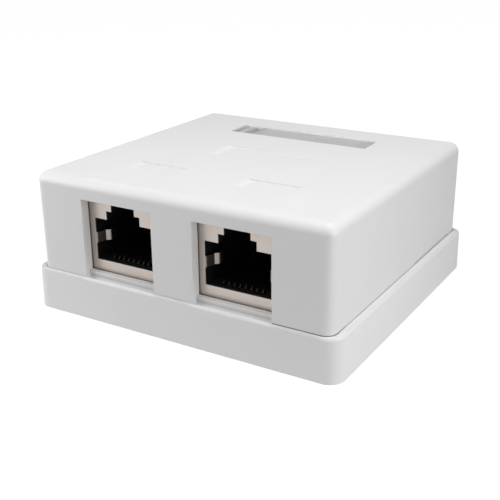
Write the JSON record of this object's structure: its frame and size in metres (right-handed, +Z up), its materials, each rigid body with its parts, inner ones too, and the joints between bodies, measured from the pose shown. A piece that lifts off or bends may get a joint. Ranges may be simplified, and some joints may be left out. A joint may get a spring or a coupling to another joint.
{
  "type": "surface mount jack box",
  "caption": "Low white wall box with a lift-off cover, a clear label window on top and shielded modular jacks side by side in its front wall.",
  "frame": {"origin": "middle of the base's underside", "axes": "+Z up, away from the wall it is screwed to; -Y out of the plug openings; +X to the right seen from the front"},
  "size_m": [0.0586, 0.0554, 0.0244],
  "materials": {
    "casing": "fine satin moulded white plastic",
    "window": "clear moulded plastic",
    "card": "plain paper card",
    "board": "satin lacquered board",
    "steel": "zinc-plated steel",
    "shield": "tinned sheet metal",
    "socket": "black moulded plastic",
    "carrier": "black moulded plastic",
    "gilt_wire": "gold-plated spring wire",
    "blade": "tinned bronze",
    "terminal": "ivory moulded plastic",
    "clamp": "white moulded plastic"
  },
  "bodies": {
    "base": {"base_tray": "casing", "circuit_board": "board", "ground_bridge": "steel", "board_screws": "steel", "cable_clamp": "clamp", "clamp_screws": "steel", "jack_shield_left": "shield", "jack_housing_left": "socket", "contact_carrier_left": "carrier", "jack_contacts_left": "gilt_wire", "terminal_block_left": "terminal", "terminal_contacts_left": "blade", "jack_shield_right": "shield", "jack_housing_right": "socket", "contact_carrier_right": "carrier", "jack_contacts_right": "gilt_wire", "terminal_block_right": "terminal", "terminal_contacts_right": "blade"},
    "cover": {"cover": "casing", "label_card": "card"},
    "window": {"label_window": "window"}
  },
  "joints": [
    {"name": "cover_lift", "type": "slide", "parent": "base", "child": "cover", "axis": [0, 0, 1], "range_m": [0, 0.022]},
    {"name": "label_window_lift", "type": "slide", "parent": "cover", "child": "window", "axis": [0, 0, 1], "range_m": [0, 0.004]}
  ]
}
